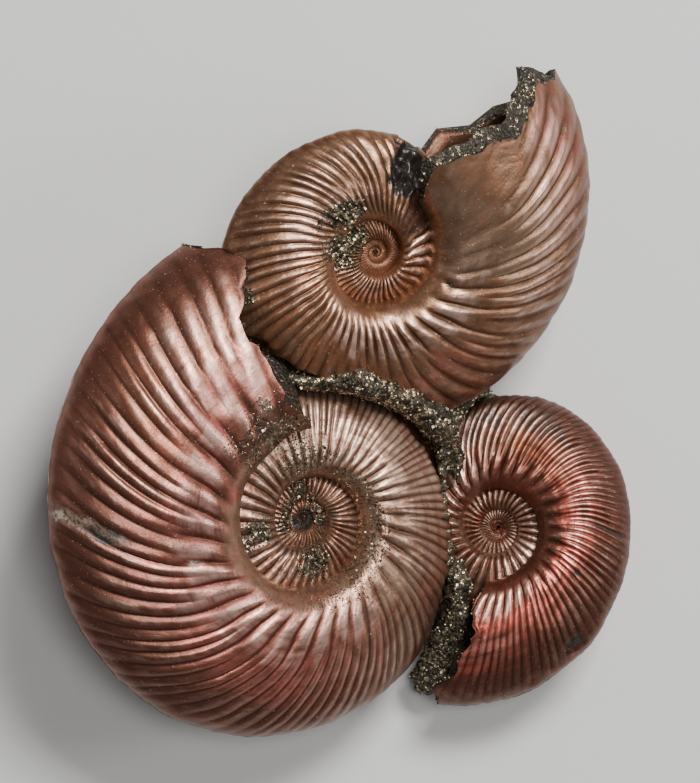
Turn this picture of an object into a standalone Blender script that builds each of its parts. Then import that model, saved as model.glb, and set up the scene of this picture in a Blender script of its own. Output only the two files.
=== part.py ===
"""Ammonite and pyrite concretion, lying on its back.

Three coiled fossil shells sit in one lump of granular pyrite.  The shells look up
(+Z), the upper shell is towards +Y and the small one towards +X.  Lengths are in
millimetres in the constants and become metres in the meshes.
"""

import math
from dataclasses import dataclass, replace

import bmesh
import bpy
from mathutils import Matrix, Vector, noise

MM = 0.001
GAP = 0.3  # clearance between pieces that touch
SEED = 41


@dataclass(frozen=True)
class Coil:
    """One coiled shell.  Radii follow the whorl rim, and angles run from +Y."""

    name: str
    colour: tuple
    centre: tuple  # coil axis at mid thickness
    clockwise: bool
    top_radius: float  # rim radius where the last whorl passes +Y
    growth: float  # how much a full turn enlarges the shell
    end_angle: float  # broken end of the last whorl, degrees of growth past +Y
    inner_turns: float  # turns shown inside the last whorl
    seam: float  # umbilical seam radius over rim radius
    half_width: float  # half whorl thickness over rim radius
    widest: float  # where the flank is thickest, over rim radius
    rim_power: float  # low is a sharp rim, 2 is a round one
    lean_to: float  # compass angle from +X that the axis leans to
    tilt: float
    oval: float  # how much the outer coil is squeezed along the lean
    core_shift: tuple  # offset of the innermost whorls
    ribs: int  # per turn
    rib_height: float  # over rim radius
    sweep: float  # degrees that a rib leads at the rim
    uneven: float  # how much rib spacing varies round the turn
    break_line: tuple  # (radius ratio, degrees past the end angle) of the front edge
    swell: float = 0.0  # even growth of the surface, for cutters


LARGE = Coil(
    name="large_ammonite",
    colour=(0.30, 0.12, 0.09, 1),
    centre=(-7.48, -19.72, 27.0),
    clockwise=True,
    top_radius=24.45,
    growth=2.28,
    end_angle=340,
    inner_turns=0.8,
    seam=0.30,
    half_width=0.285,
    widest=0.50,
    rim_power=1.75,
    lean_to=-15,
    tilt=22,
    oval=0.018,
    core_shift=(0, 0),
    ribs=42,
    rib_height=0.011,
    sweep=24,
    uneven=0.28,
    break_line=(
        (0.30, 15), (0.38, 5), (0.44, -1), (0.65, -2.5), (0.72, -5),
        (0.79, -1), (0.90, 3), (0.94, 0), (1.0, -5),
    ),
)
UPPER = Coil(
    name="upper_ammonite",
    colour=(0.36, 0.20, 0.12, 1),
    centre=(4.0, 26.86, 34.0),
    clockwise=False,
    top_radius=20.83,
    growth=2.40,
    end_angle=315,
    inner_turns=0.7,
    seam=0.27,
    half_width=0.26,
    widest=0.46,
    rim_power=1.7,
    lean_to=-44,
    tilt=24,
    oval=0.028,
    core_shift=(1.7, -0.7),
    ribs=46,
    rib_height=0.012,
    sweep=26,
    uneven=0.15,
    break_line=(
        (0.27, 12), (0.38, 19), (0.43, 15), (0.55, 4), (0.67, -1), (0.75, 1),
        (0.81, -1), (0.88, 2), (1.0, -2),
    ),
)
SMALL = Coil(
    name="small_ammonite",
    colour=(0.28, 0.07, 0.05, 1),
    centre=(26.32, -20.23, 12.5),
    clockwise=True,
    top_radius=22.1,
    growth=2.12,
    end_angle=187,
    inner_turns=0.9,
    seam=0.29,
    half_width=0.29,
    widest=0.50,
    rim_power=1.8,
    lean_to=161,
    tilt=14,
    oval=0.09,
    core_shift=(0.4, -0.2),
    ribs=40,
    rib_height=0.010,
    sweep=15,
    uneven=0.0,
    break_line=((0.29, -5), (0.42, 2), (0.62, -5), (0.73, 1), (0.84, 3), (0.92, 11), (1, 9)),
)
FRONT_ROWS = (3, 4)  # rows below and above the line that the next whorl covers
BACK_ROWS = (1, 2)
COARSE_STEPS = 26  # columns per turn in the forms that cut the pyrite
START_LEAD = 2.0  # degrees of rib lead gained per column where the last whorl begins
BREAK_REACH = 45.0  # degrees behind the broken edge where ribs turn to follow its line

# Open end of the upper shell: half outline of the hollow, (radius ratio, width ratio).
HOLLOW = (
    (0.945, 0.0), (0.91, 0.075), (0.83, 0.135), (0.72, 0.18), (0.60, 0.20),
    (0.51, 0.185), (0.465, 0.11), (0.455, 0.0),
)
HOLLOW_STATIONS = ((0.07, 1.0), (0.0, 1.0), (-0.045, 0.93), (-0.068, 0.55))

# Lumps of the pyrite: (x, y, z), (radius x, y, z), all unioned into one mass.
PYRITE_LUMPS = (
    ((-10, -18, 8), (25, 26, 9)),
    ((2, 0, 8), (24, 26, 13)),
    ((10, 24, 13), (24, 20, 10)),
    ((24, -17, 5), (18, 19, 6.5)),
)
# Ridge of pyrite seen between the shells, from left to right and down: (x, y, top z, radius).
PYRITE_BAND = (
    (-12.2, 3.0, 35.0, 2.4),
    (-9.4, 4.4, 37.0, 2.6),
    (-3.0, 4.1, 36.9, 2.6),
    (3.2, 5.2, 37.6, 3.1),
    (9.9, 2.2, 33.4, 3.0),
    (15.4, -1.6, 28.0, 3.4),
    (18.6, -8.0, 21.6, 3.0),
    (17.6, -19.5, 18.3, 2.4),
    (20.3, -31.5, 20.5, 2.8),
    (20.5, -40.0, 17.5, 4.2),
    (15.8, -47.6, 10.5, 3.6),
)
LUMP_SPACING = 2.6  # along the ridge
GRAIN = 1.1  # finest detail of the pyrite
MASS_ROUGH = 1.0
BAND_ROUGH = 0.5
MASS_FACETS = 0.0195  # share of the fine surface's faces that the solid keeps
BAND_FACETS = 0.06
REST_HALF = 60  # half size of the block that cuts the flat rest


def collection(name, parent, hidden):
    """A new collection, hidden from renders when it holds cutters."""
    made = bpy.data.collections.new(name)
    made.hide_render = hidden
    parent.children.link(made)
    return made


def material(name, colour, metallic, roughness):
    """A plain coloured surface."""
    made = bpy.data.materials.new(name)
    made.use_nodes = True
    shader = made.node_tree.nodes["Principled BSDF"]
    shader.inputs["Base Color"].default_value = colour
    shader.inputs["Metallic"].default_value = metallic
    shader.inputs["Roughness"].default_value = roughness
    made.diffuse_color = colour
    return made


def place(bm, name, home):
    """An object holding the mesh, linked to its collection."""
    mesh = bpy.data.meshes.new(name)
    bmesh.ops.recalc_face_normals(bm, faces=bm.faces[:])
    bm.to_mesh(mesh)
    bm.free()
    made = bpy.data.objects.new(name, mesh)
    home.objects.link(made)
    return made


def between(points, x):
    """The value at x of a line through (x, value) points."""
    last = points[0]
    for point in points:
        if x <= point[0]:
            span = point[0] - last[0]
            part = (x - last[0]) / span if span else 0
            return last[1] + part * (point[1] - last[1])
        last = point
    return last[1]


def ease(low, high, value):
    """Smooth step from 0 at low to 1 at high."""
    part = min(max((value - low) / (high - low), 0), 1)
    return part * part * (3 - 2 * part)


def half_thickness(coil, x):
    """Half the whorl's thickness over its rim radius, at radius ratio x."""
    def outer(at):
        inward = min((1 - at) / (1 - coil.widest), 1)
        return max(1 - (1 - inward) ** coil.rim_power, 0) ** (1 / coil.rim_power)

    if x >= coil.widest:
        return coil.half_width * outer(x)
    at_seam = outer(coil.seam * coil.growth) / coil.growth
    down = (coil.widest - x) / (coil.widest - coil.seam)
    return coil.half_width * (at_seam + (1 - at_seam) * (1 - min(down, 1) ** 2.4) ** (1 / 2.4))


def outline_normal(coil, x):
    """Outward direction of the whorl's outline at x, as (radial, sideways)."""
    if x > 0.999:
        return 1.0, 0.0
    low, high = max(x - 0.004, coil.seam), min(x + 0.004, 1.0)
    rise = (half_thickness(coil, high) - half_thickness(coil, low)) / (high - low)
    length = math.hypot(1, rise)
    return -rise / length, 1 / length


def seat(coil, angle, radius, height):
    """Where a point of the flat coil ends up once the shell is squeezed and tilted."""
    turn = math.radians(angle)
    u = math.sin(turn) * radius * (1 if coil.clockwise else -1)
    v = math.cos(turn) * radius
    outwards = ease(4.0, 22.0, radius)
    lean, tilt = math.radians(coil.lean_to), math.radians(coil.tilt)
    along = u * math.cos(lean) + v * math.sin(lean)
    across = -u * math.sin(lean) + v * math.cos(lean)
    along *= 1 - coil.oval * outwards
    seen = along * math.cos(tilt) + height * math.sin(tilt)
    core = 1 - ease(2.0, 9.0, radius)
    return Vector((
        coil.centre[0] + seen * math.cos(lean) - across * math.sin(lean) + coil.core_shift[0] * core,
        coil.centre[1] + seen * math.sin(lean) + across * math.cos(lean) + coil.core_shift[1] * core,
        coil.centre[2] - along * math.sin(tilt) + height * math.cos(tilt),
    )) * MM


def shell_point(coil, angle, x, side, lift):
    """A point of the shell surface, raised by lift times the rim radius."""
    rim = coil.top_radius * coil.growth ** (angle / 360)
    radial, sideways = outline_normal(coil, x)
    raised = lift * rim + coil.swell
    radius = rim * x + radial * raised
    height = 0 if x > 0.999 else side * (rim * half_thickness(coil, x) + sideways * raised)
    return seat(coil, angle, radius, height)


def lead(coil, x):
    """Degrees that a rib leads the seam at x."""
    return coil.sweep * max((x - coil.seam) / (1 - coil.seam), 0) ** 1.3


def rows(coil, counts):
    """Radius ratios from the seam to the rim, with the covered line at counts[0]."""
    inner, outer = counts
    covered = coil.seam * coil.growth
    shown = [coil.seam + (covered - coil.seam) * (i / inner) ** 1.5 for i in range(inner + 1)]
    rest = [
        covered + (1 - covered) * math.sin(math.pi / 2 * i / outer) for i in range(1, outer + 1)
    ]
    return shown + rest


def column_angle(coil, k, steps):
    """Growth angle of column k, counted back from the broken end."""
    turn = k / steps
    swing = math.sin(2 * math.pi * (turn - 0.2)) + math.sin(2 * math.pi * 0.2)
    return coil.end_angle - 360 * (turn + coil.uneven / (2 * math.pi) * swing)


def coil_mesh(coil, steps, ribbed):
    """The closed shell: each whorl's seam is the covered line of the one inside it."""
    bm = bmesh.new()
    last = steps + round(steps * coil.inner_turns)
    covered = coil.seam * coil.growth
    behind = round(lead(coil, covered) / (360 / steps))
    table = {1: rows(coil, FRONT_ROWS), -1: rows(coil, BACK_ROWS)}
    shown = {1: FRONT_ROWS[0], -1: BACK_ROWS[0]}
    made = {}

    def vert(side, k, row):
        x = table[side][row]
        if x > 0.999:
            side_key, row_key = 0, 0
        elif row == 0 and k + steps + behind <= last:
            return vert(side, k + steps + behind, shown[side])
        else:
            side_key, row_key = side, row
        key = (side_key, k, row_key)
        if key not in made:
            near = max(1 - (coil.end_angle - column_angle(coil, k, steps)) / BREAK_REACH, 0)
            led = lead(coil, x)
            if k <= steps:
                led = min(led, lead(coil, covered) + (steps - k) * START_LEAD)
            angle = column_angle(coil, k, steps) + led * (1 - near)
            if row:
                angle += between(coil.break_line, x) * near
            strength = ease(coil.seam, coil.seam + 0.09, x) * (1 - 0.35 * ease(0.93, 1, x))
            strength *= 1 if k < steps else 1.25
            lift = coil.rib_height * strength * (1 if k % 2 or not ribbed else -1)
            made[key] = bm.verts.new(shell_point(coil, angle, x, side, lift))
        return made[key]

    for side in (1, -1):
        for k in range(last):
            top = len(table[side]) - 1 if k < steps else shown[side]
            for row in range(top):
                ring = [
                    vert(side, k, row), vert(side, k + 1, row),
                    vert(side, k + 1, row + 1), vert(side, k, row + 1),
                ]
                corners = [c for i, c in enumerate(ring) if c is not ring[i - 1]]
                if len(set(corners)) > 2:
                    bm.faces.new(corners)
    close_ends(bm, coil)
    return bm


def close_ends(bm, coil):
    """Fills the broken end of the last whorl and the two small openings at the axis."""
    loops = boundary_loops(bm)
    for loop in loops:
        middle = sum((v.co for v in loop), Vector()) / len(loop)
        axis = seat(coil, 0, 0, 0)
        if (middle - axis).length < 0.25 * coil.top_radius * MM:
            up = (seat(coil, 0, 0, 1) - axis) / MM
            height = (middle - axis).dot(up) / MM
            hub = bm.verts.new(seat(coil, 0, 0, height + math.copysign(2 * coil.swell, height)))
            for i, v in enumerate(loop):
                bm.faces.new((v, loop[i - 1], hub))
        else:
            edges = [bm.edges.get((v, loop[i - 1])) for i, v in enumerate(loop)]
            bmesh.ops.triangle_fill(bm, edges=edges, use_beauty=True)


def boundary_loops(bm):
    """Open edges of the mesh, chained into loops of vertices."""
    beside = {}
    for edge in bm.edges:
        if len(edge.link_faces) == 1:
            for v in edge.verts:
                beside.setdefault(v, []).append(edge.other_vert(v))
    loops = []
    left = set(beside)
    while left:
        start = min(left, key=lambda v: v.co.length)
        loop, v, before = [start], beside[start][0], start
        while v is not start:
            loop.append(v)
            ahead = [w for w in beside[v] if w is not before]
            before, v = v, ahead[0]
        left -= set(loop)
        loops.append(loop)
    return loops


def hollow_mesh(coil):
    """The open space inside the broken end of a shell."""
    bm = bmesh.new()
    rings = []
    outline = list(HOLLOW) + [(x, -h) for x, h in HOLLOW[-2:0:-1]]
    for offset, share in HOLLOW_STATIONS:
        angle = coil.end_angle + 360 * offset
        rim = coil.top_radius * coil.growth ** (angle / 360)
        rings.append([
            bm.verts.new(seat(coil, angle, rim * (0.70 + (x - 0.70) * share), rim * h * share))
            for x, h in outline
        ])
    for ring, following in zip(rings, rings[1:]):
        for i in range(len(ring)):
            bm.faces.new((ring[i - 1], ring[i], following[i], following[i - 1]))
    bm.faces.new(rings[0])
    bm.faces.new(rings[-1])
    return bm


def mass_mesh():
    """Overlapping lumps that make the mass behind the shells."""
    bm = bmesh.new()
    for centre, radii in PYRITE_LUMPS:
        put = Matrix.Translation(Vector(centre) * MM) @ Matrix.Diagonal((*radii, 1))
        bmesh.ops.create_icosphere(bm, subdivisions=4, radius=MM, matrix=put)
    return bm


def band_line():
    """The ridge's line with points close enough for its lumps to overlap."""
    points = [PYRITE_BAND[0]]
    for start, end in zip(PYRITE_BAND, PYRITE_BAND[1:]):
        length = math.dist(start[:3], end[:3])
        count = max(round(length / LUMP_SPACING), 1)
        for i in range(1, count + 1):
            points.append(tuple(a + (b - a) * i / count for a, b in zip(start, end)))
    return points


def band_mesh(extra):
    """Columns of overlapping lumps that make the ridge between the shells."""
    bm = bmesh.new()
    for x, y, crest, thick in band_line():
        top, radius = crest + extra, thick + extra
        for step in range(6):
            level = top - (1 + 0.9 * step) * radius
            if level > 1.6 * radius:
                put = Matrix.Translation(Vector((x, y, level)) * MM)
                bmesh.ops.create_icosphere(bm, subdivisions=3, radius=radius * MM, matrix=put)
    return bm


def roughen(bm, size, depth):
    """Pushes each vertex in or out by a lumpy noise."""
    bm.normal_update()
    for v in bm.verts:
        amount = noise.noise(v.co / (size * MM) + Vector((SEED, 0, 0)))
        amount += 0.5 * noise.noise(v.co / (0.45 * size * MM))
        v.co += v.normal * amount * depth * MM


def lumpy(bm, name, home, spare, depth, share):
    """One roughened, faceted mass made of the given lumps, keeping a share of its faces."""
    lumps = place(bm, name + "_lumps", spare)
    remesh = lumps.modifiers.new("one mass", "REMESH")
    remesh.mode = "VOXEL"
    remesh.voxel_size = GRAIN * MM
    bm = applied(lumps)
    roughen(bm, 7.0, depth)
    bpy.data.objects.remove(lumps, do_unlink=True)
    made = place(bm, name, home)
    thin = made.modifiers.new("facets", "DECIMATE")
    thin.ratio = share
    return made


def add_boolean(target, cutter, name):
    """Cuts one object from another."""
    cut = target.modifiers.new(name, "BOOLEAN")
    cut.operation = "DIFFERENCE"
    cut.solver = "EXACT"
    cut.object = cutter


def applied(obj):
    """A mesh of the object as its modifiers leave it."""
    bpy.context.view_layer.update()
    graph = bpy.context.evaluated_depsgraph_get()
    bm = bmesh.new()
    bm.from_object(obj, graph)
    return bm


def keep_largest(bm):
    """Removes every loose crumb but the main body."""
    left = set(bm.verts)
    bodies = []
    while left:
        stack, body = [left.pop()], set()
        while stack:
            v = stack.pop()
            body.add(v)
            for edge in v.link_edges:
                other = edge.other_vert(v)
                if other in left:
                    left.discard(other)
                    stack.append(other)
        bodies.append(body)
    bodies.sort(key=len)
    crumbs = [v for body in bodies[:-1] for v in body]
    bmesh.ops.delete(bm, geom=crumbs, context="VERTS")


def finish_object(obj, surface, coll):
    """Replaces an object's modifiers by their result, as one body."""
    bm = applied(obj)
    keep_largest(bm)
    bmesh.ops.triangulate(bm, faces=bm.faces[:])
    name = obj.name
    bpy.data.objects.remove(obj, do_unlink=True)
    made = place(bm, name, coll)
    made.data.materials.clear()
    made.data.materials.append(surface)
    return made


def main():
    """Makes the three shells and the pyrite, and cuts each clear of the others."""
    for obj in list(bpy.data.objects):
        bpy.data.objects.remove(obj, do_unlink=True)
    scene = bpy.context.scene.collection
    parts = collection("ammonite_concretion", scene, False)
    cutters = collection("cutters", scene, True)

    coils = (LARGE, UPPER, SMALL)
    shells = {c.name: place(coil_mesh(c, 2 * c.ribs, True), c.name, parts) for c in coils}
    forms, coarse = {}, {}
    for c in coils:
        wide = replace(c, swell=1.6 * GAP, end_angle=c.end_angle + 1.2)
        forms[c.name] = place(coil_mesh(wide, 2 * c.ribs, False), c.name + "_form", cutters)
        wide = replace(wide, swell=2.2 * GAP)
        coarse[c.name] = place(coil_mesh(wide, COARSE_STEPS, False), c.name + "_rough", cutters)
    forms["hollow"] = place(hollow_mesh(UPPER), "body_chamber_form", cutters)
    add_boolean(shells[UPPER.name], forms[LARGE.name], "clear of large")
    add_boolean(shells[UPPER.name], forms["hollow"], "open body chamber")
    add_boolean(shells[SMALL.name], forms[LARGE.name], "clear of large")
    add_boolean(shells[SMALL.name], forms[UPPER.name], "clear of upper")

    matrix = lumpy(mass_mesh(), "pyrite_matrix", parts, cutters, MASS_ROUGH, MASS_FACETS)
    band = lumpy(band_mesh(0), "pyrite_band", cutters, cutters, BAND_ROUGH, BAND_FACETS)
    room = BAND_ROUGH + GAP
    forms["band"] = lumpy(band_mesh(room), "band_form", cutters, cutters, 0, BAND_FACETS)
    floor = bmesh.new()
    bmesh.ops.create_cube(floor, size=2 * REST_HALF * MM)
    bmesh.ops.translate(floor, verts=floor.verts[:], vec=(0, 0, -REST_HALF * MM))
    forms["rest"] = place(floor, "rest_form", cutters)
    for form in [*forms.values(), *coarse.values(), band]:
        form.display_type = "WIRE"
        form.hide_render = True
    add_boolean(shells[UPPER.name], forms["band"], "clear of band")
    for mass, others in ((matrix, coils), (band, (LARGE, SMALL))):
        add_boolean(mass, forms["rest"], "flat rest")
        for c in others:
            add_boolean(mass, coarse[c.name], "clear of " + c.name)
    joined = matrix.modifiers.new("with band", "BOOLEAN")
    joined.operation = "UNION"
    joined.solver = "EXACT"
    joined.object = band

    for c in coils:
        surface = material(c.name + "_nacre", c.colour, 0.7, 0.35)
        made = finish_object(shells[c.name], surface, parts)
        made.data.shade_smooth()
        made.data.set_sharp_from_angle(angle=math.radians(32))
    finish_object(matrix, material("pyrite", (0.13, 0.12, 0.085, 1), 0.8, 0.45), parts)


main()
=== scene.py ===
"""Looks of the ammonite and pyrite concretion, lying on its back.

Three nacreous shells are woven as spiral tubes on the sizes that their solids
have, and sit in a granular lump of pyrite.  Lengths are in millimetres in the constants
and become metres in the meshes.  Angles round a coil are degrees of growth: 0 is where
the last whorl passes +Y, and smaller angles are older.
"""

import logging
import math
from dataclasses import dataclass, field
from enum import Enum

import bmesh
import bpy
import numpy as np
from mathutils import Matrix, Vector
from mathutils.bvhtree import BVHTree


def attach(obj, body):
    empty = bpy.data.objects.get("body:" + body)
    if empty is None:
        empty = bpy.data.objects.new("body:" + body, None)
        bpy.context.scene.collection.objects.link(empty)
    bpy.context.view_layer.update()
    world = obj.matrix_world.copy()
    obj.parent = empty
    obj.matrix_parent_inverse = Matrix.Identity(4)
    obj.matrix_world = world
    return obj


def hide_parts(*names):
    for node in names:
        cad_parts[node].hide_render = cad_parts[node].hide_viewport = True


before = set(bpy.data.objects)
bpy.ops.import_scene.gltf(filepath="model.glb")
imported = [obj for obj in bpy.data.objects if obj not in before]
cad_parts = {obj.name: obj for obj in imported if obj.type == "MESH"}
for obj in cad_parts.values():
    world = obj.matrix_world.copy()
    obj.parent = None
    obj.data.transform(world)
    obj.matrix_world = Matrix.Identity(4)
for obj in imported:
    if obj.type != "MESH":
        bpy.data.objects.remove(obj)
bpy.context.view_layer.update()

MM = 0.001
log = logging.getLogger("concretion")

Colour = tuple[float, float, float, float]
Course = tuple[tuple[float, float], ...]  # (growth angle, value) pairs that a value runs through
Layers = tuple[tuple[float, float], ...]  # (size, height) of ripples, mm


class Tint(Enum):
    """Colour zones and crusts that a patch can put on a shell."""

    ROSE = "rose"
    COPPER = "copper"
    TAN = "tan"
    # Pale pearly nacre on the rib crests: partly the shell's own colour, partly painted highlight.
    PEARL_AND_HIGHLIGHT = "pearl_and_highlight"
    # Dark brown of the shell, also painted shade on outer rims and flanks turned away from the light.
    UMBER_AND_SHADE = "umber_and_shade"
    SOOT = "soot"
    ASH = "ash"
    PYRITE = "pyrite"


def clip01(value: np.ndarray) -> np.ndarray:
    """Limits to 0..1."""
    return np.clip(value, 0.0, 1.0)


def ease(low: float, high: float, value: np.ndarray) -> np.ndarray:
    """Smooth step from 0 at low to 1 at high.

    Args:
        low: where the step starts; it may lie above high.
        high: where the step ends.
        value: where the step is read.

    Returns:
        The step's value at each place.
    """
    part = clip01((value - low) / (high - low))
    return part * part * (3 - 2 * part)


def ripple(points: np.ndarray, size: float, seed: int, waves: int = 24) -> np.ndarray:
    """Smooth unevenness made of waves that run in all directions.

    Args:
        points: places, with the coordinates along the last axis.
        size: width of one lump, in the units of the points.
        seed: choice of the waves.
        waves: how many are added up.

    Returns:
        A field of about -1 to 1.
    """
    rng = np.random.default_rng(seed)
    way = rng.normal(size=(waves, points.shape[-1]))
    way /= np.linalg.norm(way, axis=1, keepdims=True)
    way *= math.pi / size * rng.uniform(0.55, 1.45, (waves, 1))
    start = rng.uniform(0, 2 * math.pi, waves)
    return np.cos(points @ way.T + start).sum(-1) * math.sqrt(1.1 / waves)


def rumple(points: np.ndarray, layers: Layers, seed: int) -> np.ndarray:
    """Ripples of several sizes, added up.

    Args:
        points: places, with the coordinates along the last axis.
        layers: size and height of each.
        seed: choice of the first one's waves.

    Returns:
        The height at each place.
    """
    return sum(height * ripple(points, size, seed + i) for i, (size, height) in enumerate(layers))


def grains(points: np.ndarray, size: float, seed: int, where: np.ndarray) -> np.ndarray:
    """Height of packed grains, highest at each grain's middle.

    Args:
        points: places in space.
        size: spacing of the grains.
        seed: choice of the grains.
        where: True at the places that are wanted.

    Returns:
        About 0 between grains and 1 on top of them, and 0 at the other places.
    """
    rng = np.random.default_rng(seed)
    jitter = rng.uniform(0.1, 0.9, (4096, 3))
    wanted = points[where]
    cell = np.floor(wanted / size).astype(np.int64)
    inside = wanted / size - cell
    nearest = np.full(len(wanted), 9.0)
    for dx in (-1, 0, 1):
        for dy in (-1, 0, 1):
            for dz in (-1, 0, 1):
                step = np.array((dx, dy, dz))
                at = cell + step
                key = (at[..., 0] * 73856093 ^ at[..., 1] * 19349663 ^ at[..., 2] * 83492791) % 4096
                away = np.linalg.norm(step + jitter[key] - inside, axis=-1)
                nearest = np.minimum(nearest, away)
    height = np.zeros(where.shape)
    height[where] = clip01(1 - nearest / 0.8)
    return height


@dataclass(frozen=True)
class Coil:
    """The plain form of one coiled shell, as its solid has it."""

    centre: tuple[float, float, float]
    clockwise: bool
    top_radius: float  # rim radius where the last whorl passes +Y
    growth: float  # how much a full turn enlarges the shell
    end_angle: float  # broken end of the last whorl
    seam: float  # radius of the umbilical seam over the rim's
    half_width: float  # half whorl thickness over rim radius
    widest: float  # where the flank is thickest, over rim radius
    rim_power: float  # low is a sharp rim, 2 is a round one
    lean_to: float  # compass angle from +X that the axis leans to
    tilt: float
    oval: float
    core_shift: tuple[float, float]  # offset of the inner whorls
    core_reach: tuple[float, float]  # radii between which that offset fades out
    break_line: tuple[tuple[float, float], ...]  # (radius ratio, degrees past the end)
    back_line: tuple[tuple[float, float], ...] = ()  # the same behind, where it differs
    core_scale: tuple[float, float] = (1, 1)  # squeeze of the inner whorls along X and Y

    @property
    def covered(self) -> float:
        """Radius ratio of the line that the next whorl covers."""
        return self.seam * self.growth

    def rim(self, angle: np.ndarray) -> np.ndarray:
        """Rim radius at a growth angle."""
        return self.top_radius * self.growth ** (angle / 360)

    def outer(self, x: np.ndarray) -> np.ndarray:
        """Thickness ratio of the outline between the widest place and the rim."""
        inward = clip01((1 - x) / (1 - self.widest))
        return (1 - (1 - inward) ** self.rim_power) ** (1 / self.rim_power)

    def half_thickness(self, x: np.ndarray) -> np.ndarray:
        """Half the whorl's thickness over its rim radius.

        Args:
            x: radius over the rim's.

        Returns:
            The ratio at each place.
        """
        at_seam = float(self.outer(np.array(self.covered))) / self.growth
        down = clip01((self.widest - x) / (self.widest - self.seam))
        inner = at_seam + (1 - at_seam) * (1 - down ** 2.4) ** (1 / 2.4)
        return self.half_width * np.where(x >= self.widest, self.outer(x), inner)

    def facing(self, x: np.ndarray) -> tuple[np.ndarray, np.ndarray]:
        """Outward direction of the outline.

        Args:
            x: radius over the rim's.

        Returns:
            Its share away from the axis, and its share sideways.
        """
        low = np.maximum(x - 0.004, self.seam)
        high = np.minimum(x + 0.004, 1.0)
        rise = (self.half_thickness(high) - self.half_thickness(low)) / (high - low)
        length = np.hypot(1, rise)
        at_rim = x > 0.999
        return np.where(at_rim, 1.0, -rise / length), np.where(at_rim, 0.0, 1 / length)

    def seat(self, angle: np.ndarray, radius: np.ndarray, height: np.ndarray) -> np.ndarray:
        """Where points of the flat coil end up once the shell is squeezed and tilted.

        Args:
            angle: growth angle.
            radius: distance from the coil's axis.
            height: distance from the coil's mid plane, towards the viewer.

        Returns:
            Places in millimetres, with the coordinates along the last axis.
        """
        turn, lean, tilt = np.radians(angle), math.radians(self.lean_to), math.radians(self.tilt)
        u = np.sin(turn) * radius * (1 if self.clockwise else -1)
        v = np.cos(turn) * radius
        along = u * math.cos(lean) + v * math.sin(lean)
        across = -u * math.sin(lean) + v * math.cos(lean)
        along = along * (1 - self.oval * ease(4.0, 22.0, radius))
        seen = along * math.cos(tilt) + height * math.sin(tilt)
        core = 1 - ease(*self.core_reach, radius)
        squeezed = 1 - ease(12.0, 24.0, radius)
        right = seen * math.cos(lean) - across * math.sin(lean)
        up = seen * math.sin(lean) + across * math.cos(lean)
        right = right * (1 + (self.core_scale[0] - 1) * squeezed) + self.core_shift[0] * core
        up = up * (1 + (self.core_scale[1] - 1) * squeezed) + self.core_shift[1] * core
        level = height * math.cos(tilt) - along * math.sin(tilt)
        return np.stack([part + at for part, at in zip((right, up, level), self.centre)], axis=-1)


def follow(course: Course, angle: np.ndarray) -> np.ndarray:
    """The value of a course at each growth angle."""
    return np.interp(angle, [at for at, _ in course], [value for _, value in course])


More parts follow.
